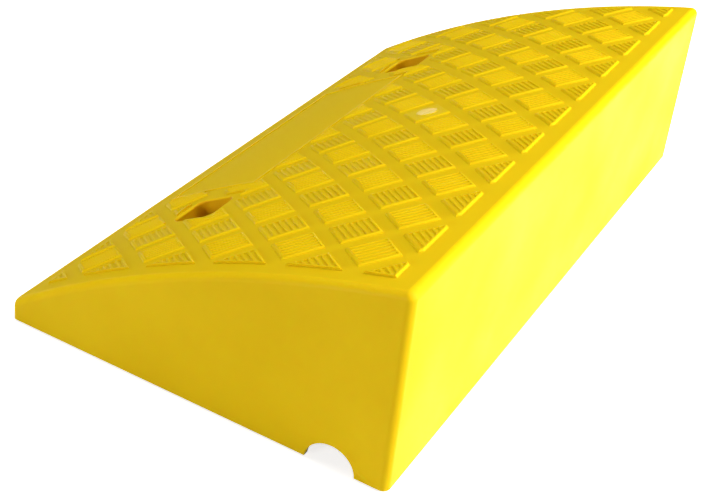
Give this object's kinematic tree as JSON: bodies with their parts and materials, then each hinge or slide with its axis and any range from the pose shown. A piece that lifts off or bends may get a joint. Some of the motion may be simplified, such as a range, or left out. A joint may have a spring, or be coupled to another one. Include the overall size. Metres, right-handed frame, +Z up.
{
  "type": "kerb ramp",
  "caption": "Moulded plastic kerb ramp: a wedge with an arched tiled tread deck, flat sides and rear wall, bolt wells, a drain channel and rubber feet.",
  "frame": {"origin": "middle of the footprint, on the floor that the feet stand on", "axes": "+X along the kerb, +Y from the toe towards the kerb, +Z up"},
  "size_m": [0.5, 0.27, 0.1342],
  "materials": {
    "yellow_plastic": "moulded, satin, lightly scuffed",
    "zinc_steel": "zinc plated",
    "black_rubber": "matt"
  },
  "bodies": {
    "root": {"ramp_body": "yellow_plastic", "left_bolt_bush": "zinc_steel", "right_bolt_bush": "zinc_steel", "front_foot_1": "black_rubber", "front_foot_2": "black_rubber", "front_foot_3": "black_rubber", "front_foot_4": "black_rubber", "middle_foot_1": "black_rubber", "middle_foot_2": "black_rubber", "middle_foot_3": "black_rubber", "middle_foot_4": "black_rubber", "rear_foot_1": "black_rubber", "rear_foot_2": "black_rubber", "rear_foot_3": "black_rubber", "rear_foot_4": "black_rubber"}
  },
  "joints": []
}
